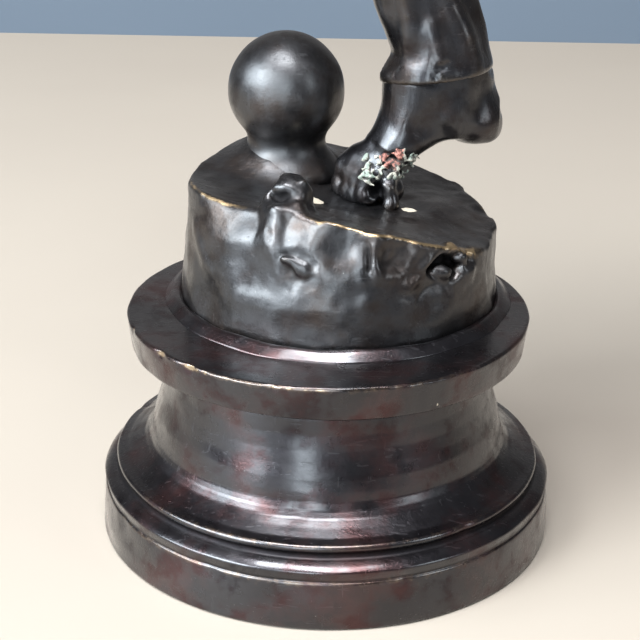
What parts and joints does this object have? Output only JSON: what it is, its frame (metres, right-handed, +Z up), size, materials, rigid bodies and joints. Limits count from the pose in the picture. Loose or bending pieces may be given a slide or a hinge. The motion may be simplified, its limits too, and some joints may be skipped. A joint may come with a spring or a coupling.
{
  "type": "bronze statuette",
  "caption": "Bronze statuette of a barefoot young ball player on tiptoe on a rock beside a ball, on a round stepped socle with a felt base.",
  "frame": {"origin": "centre of the socle's flat underside, where it rests", "axes": "+Z up through the centre bolt; -Y is the side seen from the front; +X to the right of it"},
  "size_m": [0.1997, 0.262, 0.4176],
  "materials": {
    "patina": "dark brown chemical patina, waxed",
    "patina_socle": "dark brown patina with reddish cast, waxed",
    "patina_rock": "dark patina worn to gold at the edges",
    "bare_brass": "sawn brass rod",
    "steel": "zinc plated",
    "braze": "rough braze with pale and green residue",
    "felt": "pressed wool felt"
  },
  "bodies": {
    "socle_base": {"socle": "patina_socle", "felt_pad": "felt"},
    "figure_group": {"top_plate": "patina_socle", "rock_mound": "patina_rock", "plate_screws": "bare_brass", "centre_bolt": "steel", "flat_washer": "steel", "spring_washer": "steel", "lock_nut": "bare_brass", "ball": "patina_rock", "ball_dowel": "bare_brass", "left_toes": "patina", "left_foot": "patina", "toe_dowel": "bare_brass", "braze_repair": "braze", "left_trouser_leg": "patina", "right_trouser_leg": "patina", "right_foot": "patina", "ankle_dowels": "bare_brass", "hips": "patina", "hip_dowels": "bare_brass", "sash": "patina", "torso": "patina", "waist_dowel": "bare_brass", "left_arm": "patina", "right_arm": "patina", "arm_dowels": "bare_brass", "head": "patina", "neck_dowel": "bare_brass"}
  },
  "joints": [
    {"name": "socle_swivel", "type": "hinge", "parent": "socle_base", "child": "figure_group", "pos_m": [0, 0, 0.0516], "axis": [0, 0, 1], "continuous": true}
  ]
}
